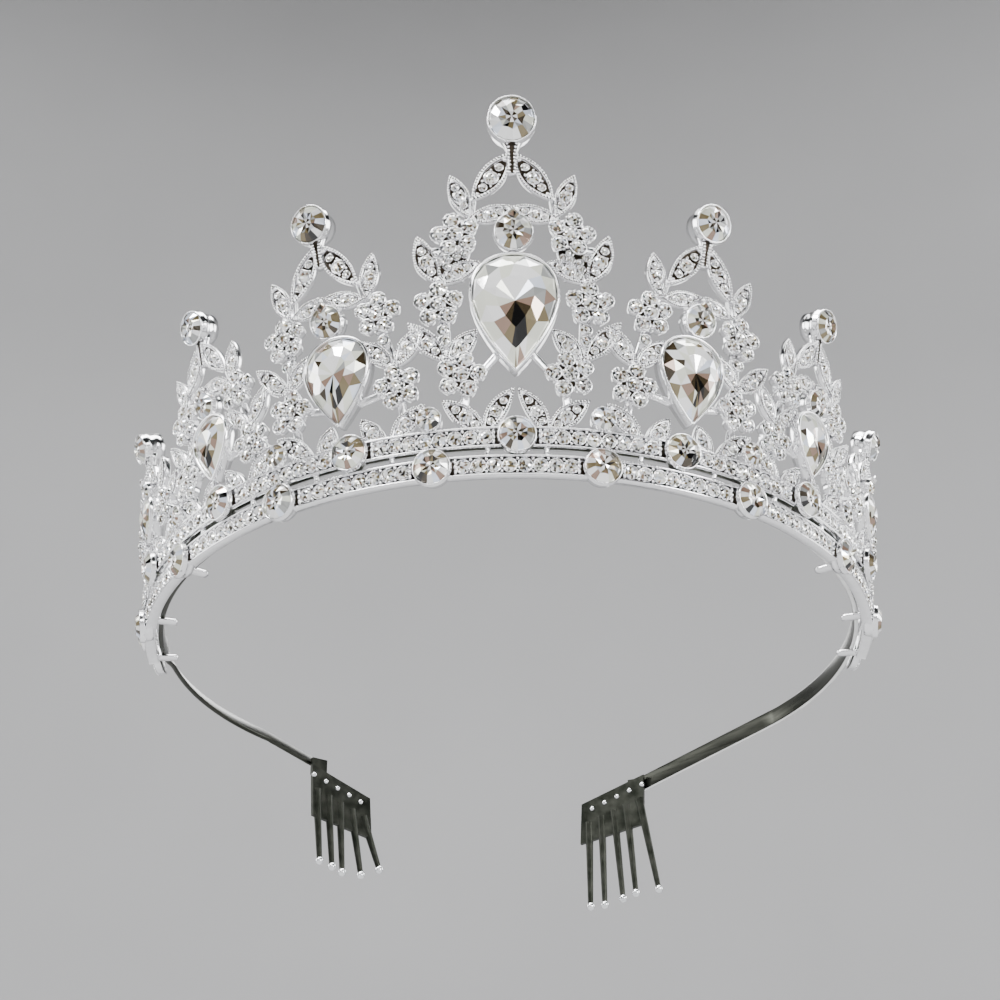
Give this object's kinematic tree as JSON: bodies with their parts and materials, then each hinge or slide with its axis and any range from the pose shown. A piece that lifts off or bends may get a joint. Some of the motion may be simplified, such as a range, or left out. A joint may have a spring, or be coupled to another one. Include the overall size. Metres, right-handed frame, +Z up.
{
  "type": "rhinestone crown",
  "caption": "Tiara-style crown: a pierced, stone-set half ring of leaf and flower peaks, tallest at the front, on a springy steel headband that ends in small hair combs.",
  "frame": {"origin": "centre of the head ring, at the level of the rails' lower edge", "axes": "+Z up out of the head, -Y towards the tallest peak at the front, +X towards the wearer's left (the picture's right)"},
  "size_m": [0.1266, 0.1273, 0.0879],
  "materials": {
    "silver_plate": "bright white plated casting, polished",
    "band_steel": "gunmetal-coloured spring steel, satin",
    "comb_steel": "gunmetal-coloured steel, satin",
    "pear_crystal": "clear cut crystal with a mirror-like foil back",
    "round_crystal": "clear cut crystal with a mirror-like foil back",
    "small_crystal": "clear cut crystal with a mirror-like foil back"
  },
  "bodies": {
    "root": {"crown_casting": "silver_plate", "headband": "band_steel", "left_comb": "comb_steel", "right_comb": "comb_steel", "pear_stone_left_3": "pear_crystal", "pear_stone_left_2": "pear_crystal", "pear_stone_left_1": "pear_crystal", "pear_stone_front": "pear_crystal", "pear_stone_right_1": "pear_crystal", "pear_stone_right_2": "pear_crystal", "pear_stone_right_3": "pear_crystal", "round_stone_left_3": "round_crystal", "round_stone_left_2": "round_crystal", "round_stone_left_1": "round_crystal", "round_stone_front": "round_crystal", "round_stone_right_1": "round_crystal", "round_stone_right_2": "round_crystal", "round_stone_right_3": "round_crystal", "tip_stone_left_3": "round_crystal", "tip_stone_left_2": "round_crystal", "tip_stone_left_1": "round_crystal", "tip_stone_front": "round_crystal", "tip_stone_right_1": "round_crystal", "tip_stone_right_2": "round_crystal", "tip_stone_right_3": "round_crystal", "rail_cup_stone_left_8": "round_crystal", "rail_cup_stone_left_7": "round_crystal", "rail_cup_stone_left_6": "round_crystal", "rail_cup_stone_left_5": "round_crystal", "rail_cup_stone_left_4": "round_crystal", "rail_cup_stone_left_3": "round_crystal", "rail_cup_stone_left_2": "round_crystal", "rail_cup_stone_left_1": "round_crystal", "rail_cup_stone_front": "round_crystal", "rail_cup_stone_right_1": "round_crystal", "rail_cup_stone_right_2": "round_crystal", "rail_cup_stone_right_3": "round_crystal", "rail_cup_stone_right_4": "round_crystal", "rail_cup_stone_right_5": "round_crystal", "rail_cup_stone_right_6": "round_crystal", "rail_cup_stone_right_7": "round_crystal", "rail_cup_stone_right_8": "round_crystal", "side_stone_left_3": "round_crystal", "side_stone_left_2": "round_crystal", "side_stone_left_1": "round_crystal", "side_stone_right_1": "round_crystal", "side_stone_right_2": "round_crystal", "side_stone_right_3": "round_crystal", "lower_rail_stones": "small_crystal", "upper_rail_stones": "small_crystal", "flower_stones": "small_crystal"}
  },
  "joints": []
}
